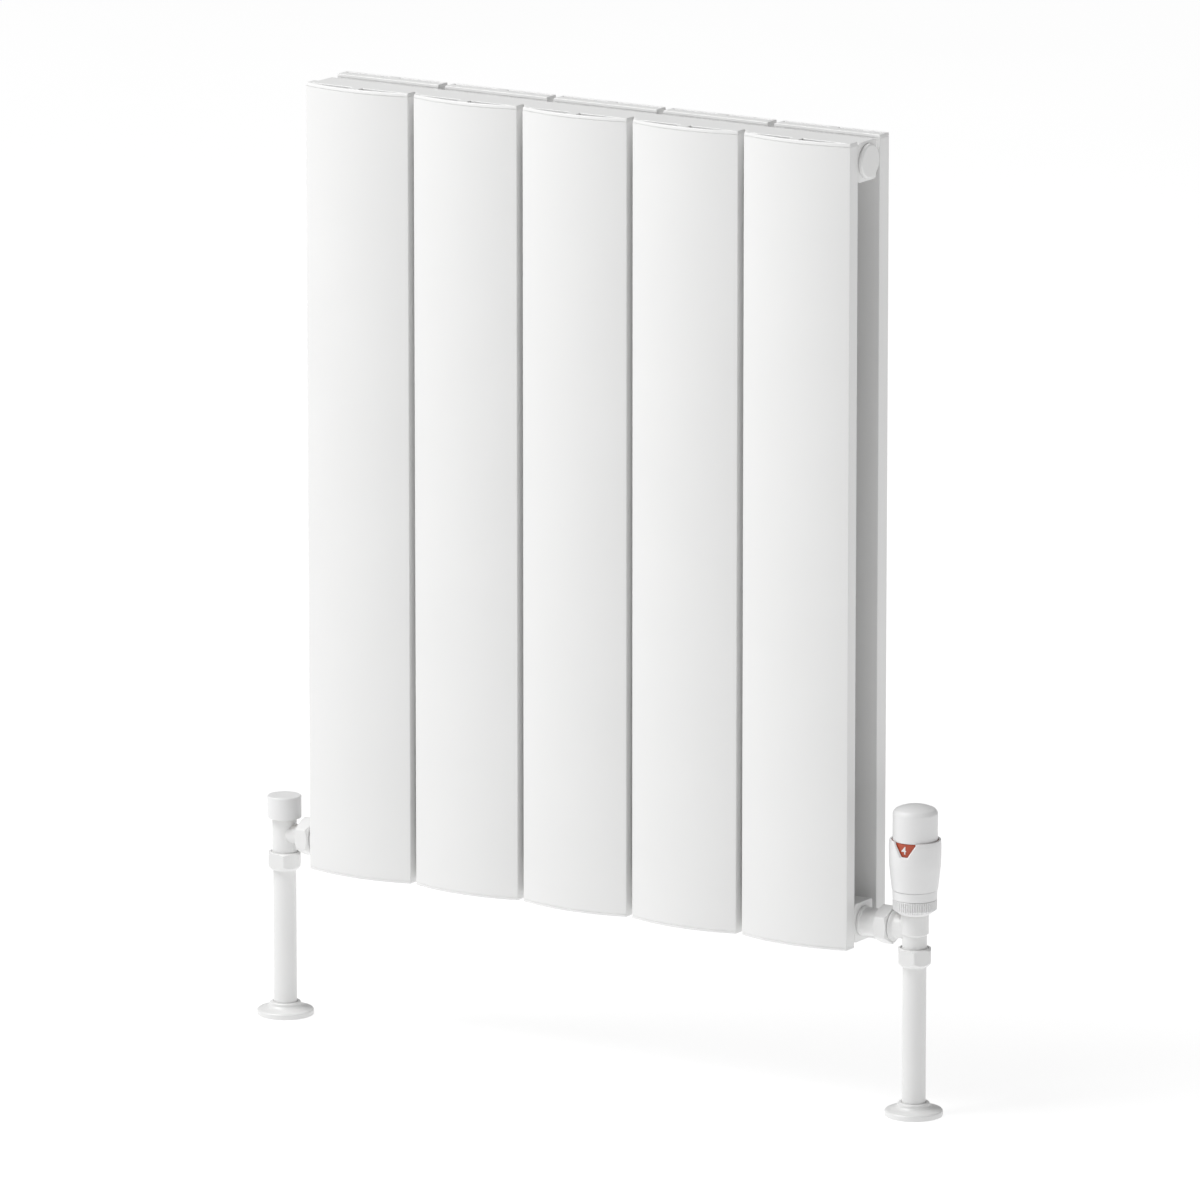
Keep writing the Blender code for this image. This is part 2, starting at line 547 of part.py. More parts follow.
def thermostat_head():
    axis = (RIGHT_X, MANIFOLD_Y, 0)
    collar = [(13.6, 163.5), (16.0, 163.5), (16.3, 163.2), (16.3, 156.4), (15.3, 155.2), (11.4, 152.2)]
    collar += [(11.4, 158.8), (13.6, 158.8)]
    turned("thermostat_collar", collar, axis, WHITE_PLASTIC)

    base = [(10.6, 197.2), (12.7, 197.2), (12.7, 170.5), (16.5, 170.5), (16.35, 163.8), (13.2, 163.8)]
    base += [(13.2, 159.2), (8.3, 159.2), (8.3, 171.2), (10.6, 173.2)]
    turned("thermostat_base", base, axis, WHITE_PLASTIC)

    skirt = [(17.7, 208.3), (18.75, 208.3), (19.05, 208.0), (19.25, 205.0), (19.25, 197.0), (19.0, 189.5)]
    skirt += [(18.0, 179.3), (16.9, 170.8), (13.1, 170.8), (13.1, 172.6), (15.3, 172.6), (16.4, 179.3)]
    skirt += [(17.4, 189.5), (17.7, 197.0)]
    sleeve = turned("thermostat_skirt", skirt, axis, WHITE_PLASTIC)
    notch = [(-9.6, 209.3), (-2.5, 197.9), (2.5, 197.9), (9.6, 209.3)]
    window = extruded("thermostat_skirt_window", [notch], 16.0, (0, 0, 0))
    window.rotation_euler = (math.pi / 2, 0, NOTCH_TURN)
    outward = Vector((math.sin(NOTCH_TURN), -math.cos(NOTCH_TURN), 0)) * 22.0
    window.location = (Vector(axis) + outward) * MM
    cut(sleeve, window)

    tube("thermostat_scale_ring", 17.0, 15.8, 193.0, 207.6, axis, RED_PLASTIC)
    dome = [(0, 234.3), (6.0, 233.8), (11.0, 232.6), (14.6, 231.0), (16.1, 229.4), (16.65, 227.3)]
    dome += [(16.65, 207.9), (15.1, 207.9), (15.1, 224.4), (13.4, 226.8), (0, 229.3)]
    turned("thermostat_knob", dome, axis, WHITE_PLASTIC, closed=False)

    sensor = [(0, 216.5), (8.4, 216.5), (10.2, 214.8), (10.2, 179.2), (2.0, 179.2), (2.0, 169.9), (0, 169.9)]
    turned("thermostat_sensor", sensor, axis, BRASS, sides=INNER_SIDES, closed=False)
    coil("thermostat_overtravel_spring", 6.0, 0.6, 216.8, 227.1, 4, axis, STEEL)


def build():
    for index in range(SECTION_COUNT):
        front_section(index)
        rear_section(index)
    manifold("top_manifold", TOP_MANIFOLD_Z)
    manifold("bottom_manifold", BOTTOM_MANIFOLD_Z)
    blanking_plug()
    air_vent()
    for label, side in (("left", -1), ("right", 1)):
        bracket(f"upper_bracket_{label}", side, upper=True)
        bracket(f"lower_bracket_{label}", side, upper=False)
        bracket_pad(f"bracket_pad_{label}", side)
    pipework("left", LEFT_X, RIGHTWARD)
    pipework("right", RIGHT_X, LEFTWARD)
    lockshield_valve()
    thermostatic_valve()
    thermostat_head()


def smooth_round_pieces():
    """Smooth shading on every part, with its sharp edges kept."""
    bpy.context.view_layer.update()
    for obj in PARTS.objects:
        if obj.type == "MESH":
            obj.data.shade_smooth()
            obj.data.set_sharp_from_angle(angle=math.radians(35))


build()
smooth_round_pieces()
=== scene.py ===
"""Fine pieces and finishes of the radiator and its valves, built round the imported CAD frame.

Shapes are drawn in millimetres in the frame's axes: X runs along the radiator, +Y points at the wall and Z
is up. Each mesh is turned into metres as it is made. The studio is in metres.
"""

import json
import math

import bmesh
import bpy
from mathutils import Matrix, Vector
from mathutils.geometry import tessellate_polygon

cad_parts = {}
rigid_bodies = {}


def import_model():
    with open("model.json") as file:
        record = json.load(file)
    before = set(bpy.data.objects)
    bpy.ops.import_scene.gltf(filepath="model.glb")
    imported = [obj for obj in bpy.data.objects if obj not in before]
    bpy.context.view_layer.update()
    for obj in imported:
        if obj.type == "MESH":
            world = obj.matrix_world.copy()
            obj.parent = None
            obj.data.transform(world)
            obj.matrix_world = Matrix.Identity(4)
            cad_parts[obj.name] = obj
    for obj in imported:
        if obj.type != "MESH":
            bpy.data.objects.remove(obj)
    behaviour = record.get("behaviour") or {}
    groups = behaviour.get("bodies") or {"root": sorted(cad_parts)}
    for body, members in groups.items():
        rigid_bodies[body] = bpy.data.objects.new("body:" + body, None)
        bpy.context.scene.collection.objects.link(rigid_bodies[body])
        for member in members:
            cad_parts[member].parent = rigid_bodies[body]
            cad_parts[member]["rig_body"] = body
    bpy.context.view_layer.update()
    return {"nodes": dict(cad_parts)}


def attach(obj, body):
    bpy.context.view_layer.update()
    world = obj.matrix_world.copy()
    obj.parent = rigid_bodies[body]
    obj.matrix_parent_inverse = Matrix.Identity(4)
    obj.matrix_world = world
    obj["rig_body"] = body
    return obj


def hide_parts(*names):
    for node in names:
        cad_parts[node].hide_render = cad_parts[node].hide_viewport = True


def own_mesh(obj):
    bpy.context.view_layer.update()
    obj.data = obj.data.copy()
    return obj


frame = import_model()

MM = 0.001
MERGE = 0.000002  # vertices this near in metres become one
GAP = 0.3  # clearance between two pieces that touch
SIDES = 96  # facets round a turned piece
SMALL_SIDES = 48  # facets round a small or hidden one
FINE_SIDES = 144  # facets round the thermostat's skirt and knob

# Radiator
SECTION_COUNT = 5
PITCH = 95.0
HALF_WIDTH = 45.0
SECTION_BOTTOM = 123.0
SECTION_HEIGHT = 600.0
SECTION_TOP = SECTION_BOTTOM + SECTION_HEIGHT
HALF_LENGTH = 235.0
WEB_HALF = 4.5
REAR_BACK = -30.0
REAR_FRONT = -43.0
MANIFOLD_BACK = -48.3
MANIFOLD_FRONT = -73.8
MANIFOLD_Y = (MANIFOLD_BACK + MANIFOLD_FRONT) / 2
MANIFOLD_HALF = 14.7
TOP_MANIFOLD_Z = SECTION_TOP - 1.4 - MANIFOLD_HALF
BOTTOM_MANIFOLD_Z = SECTION_BOTTOM + 3.3 + MANIFOLD_HALF
FRONT_BACK = MANIFOLD_FRONT - GAP
FACE_APEX = -92.5
FACE_RADIUS = 138.75
FACE_PLATE = 2.0
SLIT_BACK = -83.8
SLIT_END = 40.0
REAR_SLIT_FRONT = -34.6
REAR_SLIT_BACK = -32.0
REAR_SLIT_END = 42.0
THREAD_RADIUS = 9.9

# Valves
PORT_Z = BOTTOM_MANIFOLD_Z
LEFT_X = -273.6
RIGHT_X = 278.5
UNION_NUT_FLATS = 25.8
UNION_NUT_NEAR = 17.5
UNION_NUT_FAR = 28.5
PIPE_NUT_FLATS = 23.9
PIPE_NUT_LOW = 113.0
PIPE_NUT_HIGH = 126.6
NUT_SLOPE = 0.577  # height over radius of a nut's usual end cone
RIB_COUNT = 58
RIB_DEPTH = 1.1
RIB_LOW = 154.6
RIB_HIGH = 163.0
NOTCH_AZIMUTH = math.radians(-85)
SCALE_RADIUS = 17.0
SCALE_STEP = math.radians(55)  # between two numerals
SCALE_AT_REST = 4  # the numeral that shows in the notch
SCALE_OFFSET = math.radians(3.5)  # how far that one stands clockwise of the notch's middle
NUMERAL_SIZE = 8.2
NUMERAL_FOOT = 200.3

# Wall brackets
BRACKET_X = 1.5 * PITCH
BRACKET_STEEL = 3.0

# Studio
OBJECT_MIDDLE = Vector((0, -0.06, 0.42))
FLOOR_GLOW = 0.83
HORIZON_LIGHT = 0.40
ZENITH_LIGHT = 0.30
CAMERA_AZIMUTH = math.radians(-57.946)
CAMERA_ELEVATION = math.radians(12.746)
CAMERA_DISTANCE = 8.9635
CAMERA_TARGET = Vector((0.00650, -0.060, 0.35408))
FOCAL_LENGTH = 364.09

# Directions that a turned piece's axis can face
UP = Matrix.Identity(4)
RIGHTWARD = Matrix.Rotation(math.pi / 2, 4, "Y")
LEFTWARD = Matrix.Rotation(-math.pi / 2, 4, "Y")
BACKWARD = Matrix.Rotation(-math.pi / 2, 4, "X")


# Shapes


def fillet(points, radius=0.0, closed=True, steps=4):
    """An outline with its corners rounded. A point's third number is its own corner radius. A corner takes
    less than half of each side beside it, so its radius shrinks between short sides."""
    made = []
    for index, point in enumerate(points):
        here = Vector(point[:2])
        size = point[2] if len(point) > 2 else radius
        at_end = not closed and index in (0, len(points) - 1)
        if at_end or size <= 0:
            made.append(tuple(here))
            continue
        before = Vector(points[index - 1][:2]) - here
        after = Vector(points[(index + 1) % len(points)][:2]) - here
        half = before.angle(after) / 2
        nearly_straight = half > math.radians(89.5)
        if nearly_straight:
            made.append(tuple(here))
            continue
        reach = min(size / math.tan(half), 0.49 * before.length, 0.49 * after.length)
        size = reach * math.tan(half)
        before.normalize()
        after.normalize()
        centre = here + (before + after).normalized() * (size / math.sin(half))
        start = here + before * reach - centre
        end = here + after * reach - centre
        sweep = math.pi - 2 * half
        if start.x * end.y - start.y * end.x < 0:
            sweep = -sweep
        for step in range(steps + 1):
            turn = sweep * step / steps
            across = start.x * math.cos(turn) - start.y * math.sin(turn)
            along = start.x * math.sin(turn) + start.y * math.cos(turn)
            made.append((centre.x + across, centre.y + along))
    return made


def divided(points, longest=2.0):
    """The same outline with extra points along its long straight runs."""
    made = []
    for here, beyond in zip(points, points[1:]):
        start, end = Vector(here), Vector(beyond)
        count = max(1, math.ceil((end - start).length / longest))
        made += [tuple(start.lerp(end, step / count)) for step in range(count)]
    return made + [points[-1]]


def linked(name, data):
    """A new object in the scene."""
    obj = bpy.data.objects.new(name, data)
    bpy.context.scene.collection.objects.link(obj)
    return obj


def evaluated_mesh(obj):
    """The mesh that an object's modifiers or text settings make."""
    bpy.context.view_layer.update()
    graph = bpy.context.evaluated_depsgraph_get()
    return bpy.data.meshes.new_from_object(obj.evaluated_get(graph))


def solid(name, points, faces):
    """A mesh object from points in millimetres."""
    form = bmesh.new()
    verts = [form.verts.new(Vector(point) * MM) for point in points]
    for face in faces:
        form.faces.new([verts[index] for index in face])
    bmesh.ops.recalc_face_normals(form, faces=form.faces)
    mesh = bpy.data.meshes.new(name)
    form.to_mesh(mesh)
    form.free()
    return linked(name, mesh)


def turned(name, profile, at, facing=UP, rounding=0.2, closed=True, sides=SIDES, angles=None, warp=None):
    """A shape turned about an axis through `at`. The profile's points are (radius, height) and may have a
    corner radius. Where some are functions of the angle, no corner is rounded. `warp` moves a point of the
    finished profile."""
    if not any(callable(point) for point in profile):
        profile = fillet(profile, rounding, closed)
    angles = angles or [2 * math.pi * side / sides for side in range(sides)]
    matrix = Matrix.Translation(at) @ facing
    points, rings = [], []
    for row in profile:
        if not callable(row) and row[0] <= 0:
            rings.append([len(points)])
            points.append(matrix @ Vector((0, 0, row[1])))
            continue
        rings.append(list(range(len(points), len(points) + len(angles))))
        for angle in angles:
            radius, height = row(angle) if callable(row) else row
            if warp:
                radius, height = warp(radius, height, angle)
            points.append(matrix @ Vector((radius * math.cos(angle), radius * math.sin(angle), height)))
    pairs = list(zip(rings, rings[1:]))
    if closed:
        pairs.append((rings[-1], rings[0]))
    faces = []
    for first, second in pairs:
        for side in range(len(angles)):
            beyond = (side + 1) % len(angles)
            face = [first[side % len(first)], first[beyond % len(first)]]
            face += [second[beyond % len(second)], second[side % len(second)]]
            face = list(dict.fromkeys(face))
            if len(face) > 2:
                faces.append(face)
    return solid(name, points, faces)


def prism(name, loops_at, levels, place):
    """An outline with holes given height. `levels` are (height, inset, hole inset), and `loops_at` draws the
    loops for the two insets. `place` puts (across, along, height) into the frame."""
    points, faces, layers = [], [], []
    for height, inset, hole_inset in levels:
        loops = loops_at(inset, hole_inset)
        layer = []
        for loop in loops:
            layer.append(list(range(len(points), len(points) + len(loop))))
            points += [place(across, along, height) for across, along in loop]
        layers.append((layer, loops))
    for (below, _), (above, _) in zip(layers, layers[1:]):
        for low, high in zip(below, above):
            for index in range(len(low)):
                beyond = (index + 1) % len(low)
                faces.append([low[index], low[beyond], high[beyond], high[index]])
    for layer, loops in (layers[0], layers[-1]):
        flat = [index for ring in layer for index in ring]
        drawn = [[Vector((across, along, 0)) for across, along in loop] for loop in loops]
        faces += [[flat[corner] for corner in face] for face in tessellate_polygon(drawn)]
    return solid(name, points, faces)


def rounded_levels(low, high, size):
    """Levels of a prism whose two ends have rounded edges."""
    steps = 3
    ends = []
    for step in range(steps + 1):
        angle = math.pi / 2 * step / steps
        ends.append(((1 - math.cos(angle)) * size, (1 - math.sin(angle)) * size))
    made = [(low + rise, inset, 0) for rise, inset in ends]
    return made + [(high - rise, inset, 0) for rise, inset in reversed(ends)]


def combine(obj, other, operation="UNION"):
    """Adds, cuts away or keeps what is shared with another object, which is used up."""
    boolean = obj.modifiers.new(operation, "BOOLEAN")
    boolean.operation = operation
    boolean.solver = "EXACT"
    boolean.object = other
    mesh = evaluated_mesh(obj)
    obj.modifiers.remove(boolean)
    obj.data = mesh
    form = bmesh.new()
    form.from_mesh(mesh)
    bmesh.ops.remove_doubles(form, verts=form.verts, dist=MERGE)
    bmesh.ops.dissolve_degenerate(form, edges=form.edges, dist=MERGE)
    form.to_mesh(mesh)
    form.free()
    bpy.data.objects.remove(other)


def cut(obj, other):
    """Cuts another object's shape out of this one."""
    combine(obj, other, "DIFFERENCE")


def nut(name, flats, near, far, inner, at, facing, near_face, near_slope=NUT_SLOPE, far_slope=NUT_SLOPE):
    """A six-sided nut with coned ends. Its corners point up and down, or along X when it stands upright.
    `near_face` is how far inside the flats the near end's rim lies, the slopes are height over radius, and
    `inner` is the bore's profile from the far end to the near one."""
    corner = flats / math.sqrt(3) - 0.25  # slightly rounded off
    near_rim = flats / 2 - near_face
    far_rim = flats / 2 - 0.5

    def reach(angle):
        return min(flats / 2 / math.cos(math.remainder(angle - math.pi / 6, math.pi / 3)), corner)

    rows = [
        lambda angle: (near_rim, near),
        lambda angle: (reach(angle), near + (reach(angle) - near_rim) * near_slope),
        lambda angle: (reach(angle), far - (reach(angle) - far_rim) * far_slope),
        lambda angle: (far_rim, far),
    ]
    # Degrees from the middle of a flat, closer together near its corners
    offsets = [-30, -28, -26, -22, -17, -11.5, -6, 0, 6, 11.5, 17, 22, 26, 28]
    angles = [math.radians(30 + 60 * flat + offset) for flat in range(6) for offset in offsets]
    return turned(name, rows + fillet(inner, 0.15, closed=False), at, facing, angles=angles)


def coil(name, radius, wire, bottom, top, turns, at):
    """A compression spring along a helix, with a closed turn at each end of its open turns. `wire` is the
    wire's radius."""
    sides, steps_per_turn = 10, 32
    total = turns + 2
    steps = total * steps_per_turn
    free = top - bottom - 6 * wire
    closed_pitch = 1.96 * wire  # so the closed turns touch
    points, rings = [], []
    for step in range(steps + 1):
        turn = total * step / steps
        open_turn = min(max(turn - 1, 0), turns)
        closed_rise = min(turn, 1) + max(turn - 1 - turns, 0)
        height = bottom + wire + closed_rise * closed_pitch + open_turn * free / turns
        angle = 2 * math.pi * turn
        out = Vector((math.cos(angle), math.sin(angle), 0))
        centre = Vector(at) + out * radius + Vector((0, 0, height))
        ring = []
        for side in range(sides):
            around = 2 * math.pi * side / sides
            ring.append(len(points))
            points.append(centre + out * wire * math.cos(around) + Vector((0, 0, wire * math.sin(around))))
        rings.append(ring)
    faces = [rings[0], rings[-1]]
    for first, second in zip(rings, rings[1:]):
        for side in range(sides):
            beyond = (side + 1) % sides
            faces.append([first[side], first[beyond], second[beyond], second[side]])
    return solid(name, points, faces)


# Finishes


def add(tree, kind, inputs=None, **settings):
    """A node with its settings, and with each input set to a value or linked to another node's output."""
    made = tree.nodes.new(kind)
    for key, value in settings.items():
        setattr(made, key, value)
    for socket, value in (inputs or {}).items():
        if isinstance(value, bpy.types.NodeSocket):
            tree.links.new(value, made.inputs[socket])
        else:
            made.inputs[socket].default_value = value
    return made


def noise(tree, scale, stretch=(1, 1, 1), detail=3.0):
    """Noise fixed to the piece. `scale` is in features per metre."""
    place = add(tree, "ShaderNodeTexCoord").outputs["Object"]
    place = add(tree, "ShaderNodeMapping", {"Vector": place, "Scale": stretch}).outputs["Vector"]
    settings = {"Vector": place, "Scale": scale, "Detail": detail, "Roughness": 0.5}
    return add(tree, "ShaderNodeTexNoise", settings).outputs["Fac"]


def spread(tree, value, low, high):
    """Maps the middle of a noise's range to low…high."""
    settings = {"Value": value, "From Min": 0.3, "From Max": 0.7, "To Min": low, "To Max": high}
    return add(tree, "ShaderNodeMapRange", settings).outputs["Result"]


def finish(slot, colour, deeper, roughness, mottle, metallic=0.0, bump=None, coat=0.0, cells=0.0):
    """A finish whose colour and roughness drift slightly over the surface, by `mottle` patches per metre.
    `bump` is (features per metre, stretch, height in metres), and `cells` is the number per metre of crystal
    patches."""
    made = bpy.data.materials.new("finish_" + slot)
    made.use_nodes = True
    tree = made.node_tree
    shader = tree.nodes["Principled BSDF"]
    shader.inputs["Metallic"].default_value = metallic
    shader.inputs["IOR"].default_value = 1.5
    shader.inputs["Coat Weight"].default_value = coat
    shader.inputs["Coat Roughness"].default_value = 0.12
    drift = noise(tree, mottle, detail=4.0)
    if cells:
        place = add(tree, "ShaderNodeTexCoord").outputs["Object"]
        patches = add(tree, "ShaderNodeTexVoronoi", {"Vector": place, "Scale": cells}).outputs["Color"]
        shade = add(tree, "ShaderNodeSeparateColor", {"Color": patches}).outputs["Red"]
        drift = add(tree, "ShaderNodeMix", {"Factor": 0.6, "A": drift, "B": shade}).outputs["Result"]
    mix = add(tree, "ShaderNodeMix", {"Factor": spread(tree, drift, 0, 1)}, data_type="RGBA")
    mix.inputs["A"].default_value = (*colour, 1)
    mix.inputs["B"].default_value = (*deeper, 1)
    tree.links.new(mix.outputs["Result"], shader.inputs["Base Color"])
    rough = spread(tree, noise(tree, mottle * 7, detail=5.0), *roughness)
    tree.links.new(rough, shader.inputs["Roughness"])
    if bump:
        scale, stretch, height = bump
        settings = {"Height": noise(tree, scale, stretch), "Distance": height, "Strength": 1.0}
        normal = add(tree, "ShaderNodeBump", settings).outputs["Normal"]
        tree.links.new(normal, shader.inputs["Normal"])
    return made


EVEN = (1, 1, 1)
FLAT_RINGS = (1, 1, 30)  # fine rings round an upright axis, as a lathe leaves

# Each slot's colour, its deeper patches, the range of its roughness, and its patches per metre
LOOKS = {
    "white_paint": ((0.86, 0.86, 0.855), (0.845, 0.845, 0.84), (0.40, 0.43), 12),
    "white_enamel": ((0.85, 0.85, 0.845), (0.835, 0.835, 0.83), (0.36, 0.38), 25),
    "white_plastic": ((0.86, 0.86, 0.86), (0.84, 0.84, 0.84), (0.36, 0.39), 40),
    "red_plastic": ((0.50, 0.085, 0.035), (0.43, 0.07, 0.03), (0.36, 0.46), 60),
    "black_rubber": ((0.03, 0.03, 0.03), (0.045, 0.045, 0.045), (0.68, 0.82), 120),
    "brass": ((0.74, 0.54, 0.24), (0.62, 0.43, 0.18), (0.22, 0.38), 90),
    "copper": ((0.76, 0.38, 0.24), (0.60, 0.27, 0.17), (0.28, 0.46), 45),
    "steel": ((0.62, 0.62, 0.63), (0.52, 0.52, 0.53), (0.24, 0.38), 120),
    "zinc_steel": ((0.66, 0.67, 0.68), (0.50, 0.51, 0.53), (0.34, 0.52), 60),
    "nylon": ((0.78, 0.78, 0.74), (0.72, 0.72, 0.67), (0.46, 0.56), 70),
}

# What else a slot's finish has: bumps, metal, a clear coat or crystal patches
DETAILS = {
    "white_paint": {"bump": (260, EVEN, 0.00003), "coat": 0.1},
    "white_enamel": {"coat": 0.1},
    "white_plastic": {"bump": (3000, EVEN, 0.000008)},
    "red_plastic": {"bump": (3000, EVEN, 0.00001)},
    "black_rubber": {"bump": (1800, EVEN, 0.00003)},
    "brass": {"bump": (260, FLAT_RINGS, 0.00002), "metallic": 1.0},
    "copper": {"bump": (500, EVEN, 0.00002), "metallic": 1.0},
    "steel": {"bump": (260, FLAT_RINGS, 0.00002), "metallic": 1.0},
    "zinc_steel": {"bump": (700, EVEN, 0.00003), "metallic": 1.0, "cells": 140},
    "nylon": {"bump": (1500, EVEN, 0.00002)},
}
FINISHES = {slot: finish(slot, *look, **DETAILS[slot]) for slot, look in LOOKS.items()}


def show(obj, slot, *nodes, body=None, sharp=32):
    """Finishes a piece: its material, its shading, the CAD nodes that it stands for and the body it rides on.
    An edge that turns by more than `sharp` degrees stays sharp."""
    obj.data.materials.clear()
    obj.data.materials.append(FINISHES[slot])
    obj.data.shade_smooth()
    obj.data.set_sharp_from_angle(angle=math.radians(sharp))
    weighted = obj.modifiers.new("weighted_normals", "WEIGHTED_NORMAL")
    weighted.keep_sharp = True
    if nodes:
        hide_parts(*nodes)
    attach(obj, body or frame["nodes"][nodes[0]]["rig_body"])


def turned_piece(node, slot, profile, at, facing=UP, rounding=0.2, closed=True, sides=SIDES, warp=None):
    """A turned shape that stands for one CAD node."""
    show(turned(node + "_form", profile, at, facing, rounding, closed, sides, warp=warp), slot, node)


# Radiator


def section_x(index):
    return (index - (SECTION_COUNT - 1) / 2) * PITCH


def face_y(inset, across):
    """Depth of the curved face, moved back by `inset`, at a distance from the section's middle."""
    return FACE_APEX + FACE_RADIUS - math.sqrt((FACE_RADIUS - inset) ** 2 - across**2)


def front_loops(inset, hole_inset):
    """The curved face plate with its back, and the two slits between the face and the water chamber. `inset`
    draws the face back in full, and the sides and back by less."""
    half = HALF_WIDTH - inset * 0.6
    corner = max(0.9 - inset, 0.1)
    face_steps, slit_steps = 24, 12
    outline = []
    for step in range(face_steps + 1):
        across = half * (1 - 2 * step / face_steps)
        outline.append((across, face_y(inset, across), corner if step in (0, face_steps) else 0))
    outline += [(-half, FRONT_BACK - inset / 2, 0.4), (half, FRONT_BACK - inset / 2, 0.4)]
    low, high = WEB_HALF - hole_inset, SLIT_END + hole_inset
    slit = [(low, SLIT_BACK + hole_inset, 0.3)]
    for step in range(slit_steps + 1):
        across = low + (high - low) * step / slit_steps
        slit.append((across, face_y(FACE_PLATE - hole_inset, across), 0.3 if step == 0 else 0))
    slit.append((high, SLIT_BACK + hole_inset))
    mirrored = [(-point[0],) + point[1:] for point in slit]
    return [fillet(outline), fillet(slit), fillet(mirrored)]


def rear_loops(inset, hole_inset):
    """The flat rear chamber with its two slits behind it."""
    half = HALF_WIDTH - inset
    corner = max(0.8 - inset, 0.1)
    back, front = REAR_BACK - inset * 0.3, REAR_FRONT + inset
    outline = [(-half, back, corner), (-half, front, corner), (half, front, corner), (half, back, corner)]
    low, high = WEB_HALF - hole_inset, REAR_SLIT_END + hole_inset
    near, far = REAR_SLIT_FRONT - hole_inset, REAR_SLIT_BACK + hole_inset
    slit = [(low, near, 0.3), (high, near, 0.3), (high, far, 0.3), (low, far, 0.3)]
    mirrored = [(-point[0],) + point[1:] for point in slit]
    return [fillet(outline), fillet(slit), fillet(mirrored)]


# Heights of a section from its bottom, with how far the outline is drawn in there and how far the slits are
# widened. A fine groove shows where each end cap meets the extrusion, and the upper cap tapers a little.
SECTION_LEVELS = [
    (0.0, 0.5, 0.3),
    (0.15, 0.2, 0.1),
    (0.5, 0.0, 0.0),
    (1.8, 0.0, 0.0),
    (1.9, 0.28, 0.0),
    (2.3, 0.28, 0.0),
    (2.4, 0.0, 0.0),
    (300.0, 0.0, 0.0),
    (597.3, 0.0, 0.0),
    (597.4, 0.45, 0.0),
    (597.9, 0.45, 0.0),
    (598.0, 0.0, 0.0),
    (599.6, 0.55, 0.0),
    (SECTION_HEIGHT, 0.95, 0.3),
]


def sections():
    for index in range(SECTION_COUNT):
        x = section_x(index)

        def place(across, along, height, x=x):
            return (x + across, along, SECTION_BOTTOM + height)

        name = f"front_section_{index + 1}"
        show(prism(name + "_form", front_loops, SECTION_LEVELS, place), "white_paint", name, sharp=20)
        name = f"rear_section_{index + 1}"
        levels = [(height, inset * 0.7, hole) for height, inset, hole in SECTION_LEVELS]
        show(prism(name + "_form", rear_loops, levels, place), "white_paint", name, sharp=20)


def manifold(node, z):
    """A rounded rectangular header with a welded stub to each rear section and a bore in each end."""

    def loops(inset, _):
        near, far = MANIFOLD_FRONT + inset, MANIFOLD_BACK - inset
        half = MANIFOLD_HALF - inset
        corner = 2.8 - inset
        return [fillet([(near, -half), (far, -half), (far, half), (near, half)], corner, steps=6)]

    def place(across, along, height):
        return (height, across, z + along)

    levels = rounded_levels(-HALF_LENGTH, HALF_LENGTH, 0.6)
    header = prism(node + "_form", loops, levels, place)
    sunk = 1.0
    length = REAR_FRONT - GAP - MANIFOLD_BACK + sunk
    stub = [(0, 0), (9.5, 0), (9.5, 0.9, 0.3), (8.7, 1.6, 0.5), (8.2, 1.8, 0.4), (8.0, 2.6)]
    stub += [(8.0, length), (0, length)]
    for index in range(SECTION_COUNT):
        at = (section_x(index), MANIFOLD_BACK - sunk, z)
        combine(header, turned(f"{node}_stub", stub, at, BACKWARD, 0, closed=False, sides=SMALL_SIDES))
    for facing, side in ((LEFTWARD, -1), (RIGHTWARD, 1)):
        at = (side * HALF_LENGTH, MANIFOLD_Y, z)
        bore = THREAD_RADIUS + GAP
        hole = [(0, 1), (bore + 0.6, 1), (bore + 0.6, 0), (bore, -0.6), (bore, -18), (0, -18)]
        cut(header, turned(f"{node}_bore", hole, at, facing, 0, closed=False, sides=SMALL_SIDES))
    show(header, "white_paint", node, sharp=30)


def plug_profile(boss):
    """An end plug: a flange outside and a thread inside. `boss` is the radius of a raised middle."""
    profile = [(boss, 5.2, 0.6), (boss, 3.2, 0.3)] if boss else [(0, 3.2)]
    profile += [(11.6, 3.2, 0.15), (12.75, 2.3, 0.15), (12.75, 0.3, 0.1), (12.45, 0.3), (12.45, 1.1)]
    return profile + [(THREAD_RADIUS, 1.1), (THREAD_RADIUS, -10.0, 0.6)]


def plugs():
    end = (HALF_LENGTH, MANIFOLD_Y, TOP_MANIFOLD_Z)
    profile = plug_profile(0) + [(7.0, -10.0), (7.0, -1.0), (0, -1.0)]
    turned_piece("blanking_plug", "white_paint", profile, end, RIGHTWARD, 0, closed=False)
    seal = [(12.1, 0.8), (12.1, GAP), (10.2, GAP), (10.2, 0.8)]
    turned_piece("blanking_plug_seal", "black_rubber", seal, end, RIGHTWARD, 0.1)
    end = (-HALF_LENGTH, MANIFOLD_Y, TOP_MANIFOLD_Z)
    profile = plug_profile(5.5) + [(3.3, -10.0), (3.3, 5.2, 0.3)]
    turned_piece("air_vent_plug", "white_paint", profile, end, LEFTWARD, 0)
    turned_piece("air_vent_seal", "black_rubber", seal, end, LEFTWARD, 0.1)
    shank = [(0, 7.0), (2.2, 7.0, 0.2), (2.2, 4.0), (3.0, 3.2), (3.0, -6.0), (1.2, -8.0, 0.3), (0, -8.0)]
    screw = turned("bleed_screw_form", shank, end, LEFTWARD, 0, closed=False, sides=SMALL_SIDES)
    combine(screw, square_end("bleed_screw_square", half=2.4, low=6.3, high=10.2, at=end, facing=LEFTWARD))
    show(screw, "brass", "bleed_screw")


